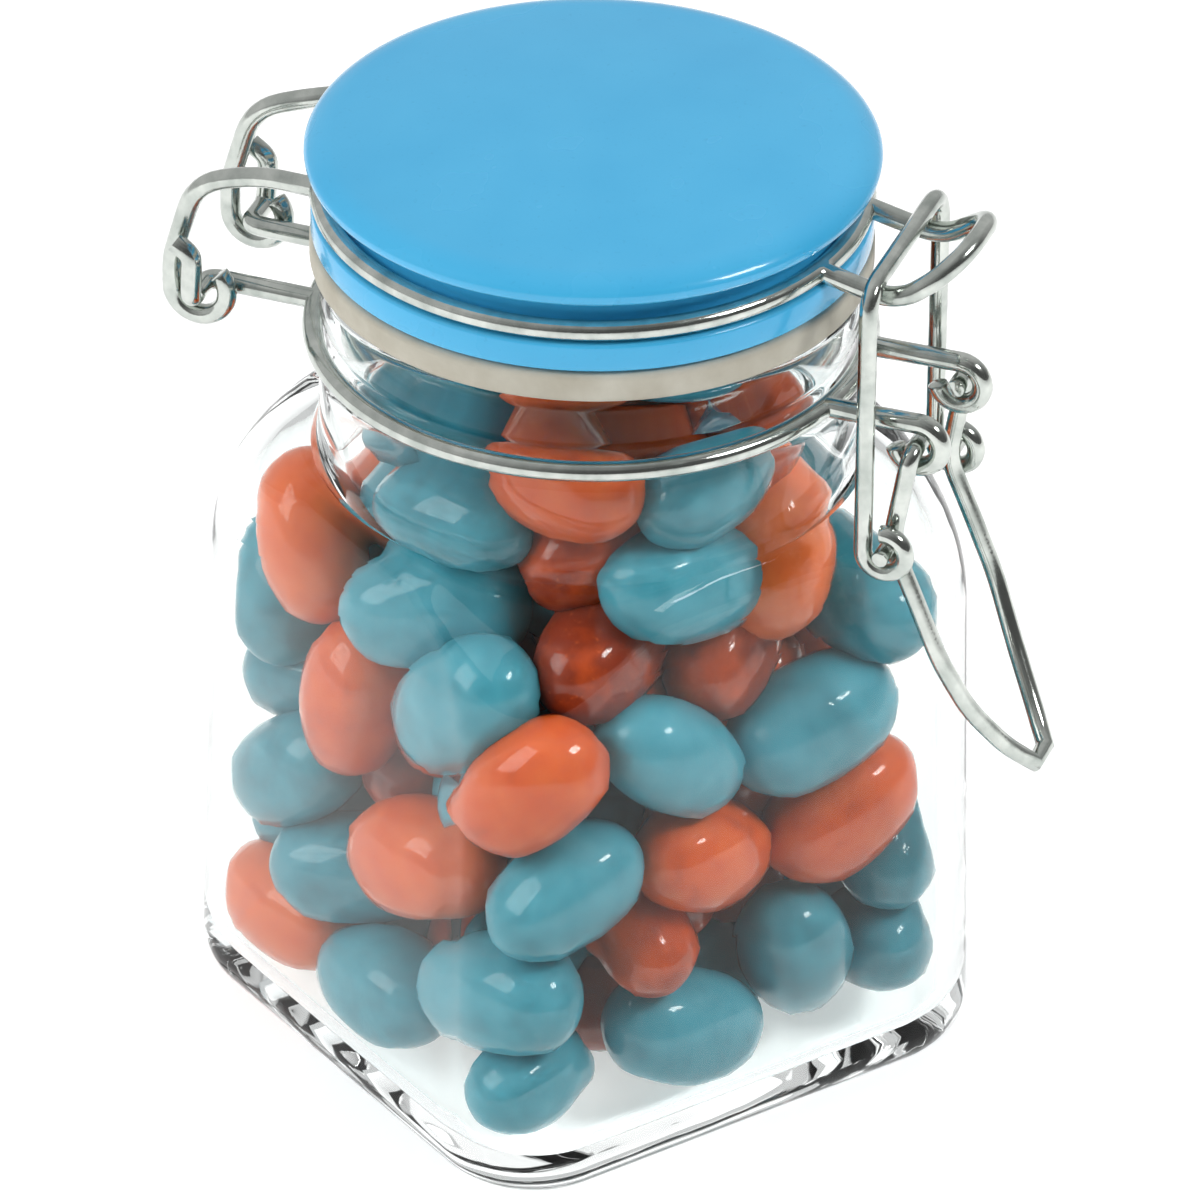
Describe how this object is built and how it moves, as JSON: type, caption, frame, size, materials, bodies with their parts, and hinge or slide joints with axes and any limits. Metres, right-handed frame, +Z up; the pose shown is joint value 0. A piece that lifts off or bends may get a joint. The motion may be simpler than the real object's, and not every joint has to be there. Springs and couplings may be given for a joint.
{
  "type": "clip-top jar of jelly beans",
  "caption": "Small square glass jar with a wire-clasped ceramic lid, filled with two colours of jelly beans.",
  "frame": {"origin": "middle of the jar's flat base, on the axis of its round neck", "axes": "+Z up along the neck; +Y towards the hinge of the wire closure; -Y towards its clasp; X along the pivots"},
  "size_m": [0.075, 0.0881, 0.0996],
  "materials": {
    "clear_glass": "clear moulded glass",
    "sugar_shell": "polished sugar shell, blue and orange",
    "glazed_blue": "glossy glazed ceramic",
    "cream_rubber": "matt",
    "steel_wire": "bright drawn steel"
  },
  "bodies": {
    "jar": {"glass_jar": "clear_glass", "jelly_beans": "sugar_shell", "neck_wire": "steel_wire"},
    "lid": {"lid": "glazed_blue", "gasket": "cream_rubber", "lid_wire": "steel_wire"},
    "lever": {"lever": "steel_wire"},
    "bail": {"bail": "steel_wire"}
  },
  "joints": [
    {"name": "lid_hinge", "type": "hinge", "parent": "jar", "child": "lid", "pos_m": [0, 0.0372, 0.0776], "axis": [-1, 0, 0], "range_deg": [0, 110]},
    {"name": "clasp_lever", "type": "hinge", "parent": "jar", "child": "lever", "pos_m": [0, -0.0352, 0.0755], "axis": [-1, 0, 0], "range_deg": [0, 125]},
    {"name": "bail_pivot", "type": "hinge", "parent": "lever", "child": "bail", "pos_m": [0, -0.0335, 0.0655], "axis": [-1, 0, 0], "range_deg": [-95, 0]}
  ],
  "couplings": [
    {"joint": "bail_pivot", "follows": "clasp_lever", "ratio": -0.75}
  ]
}
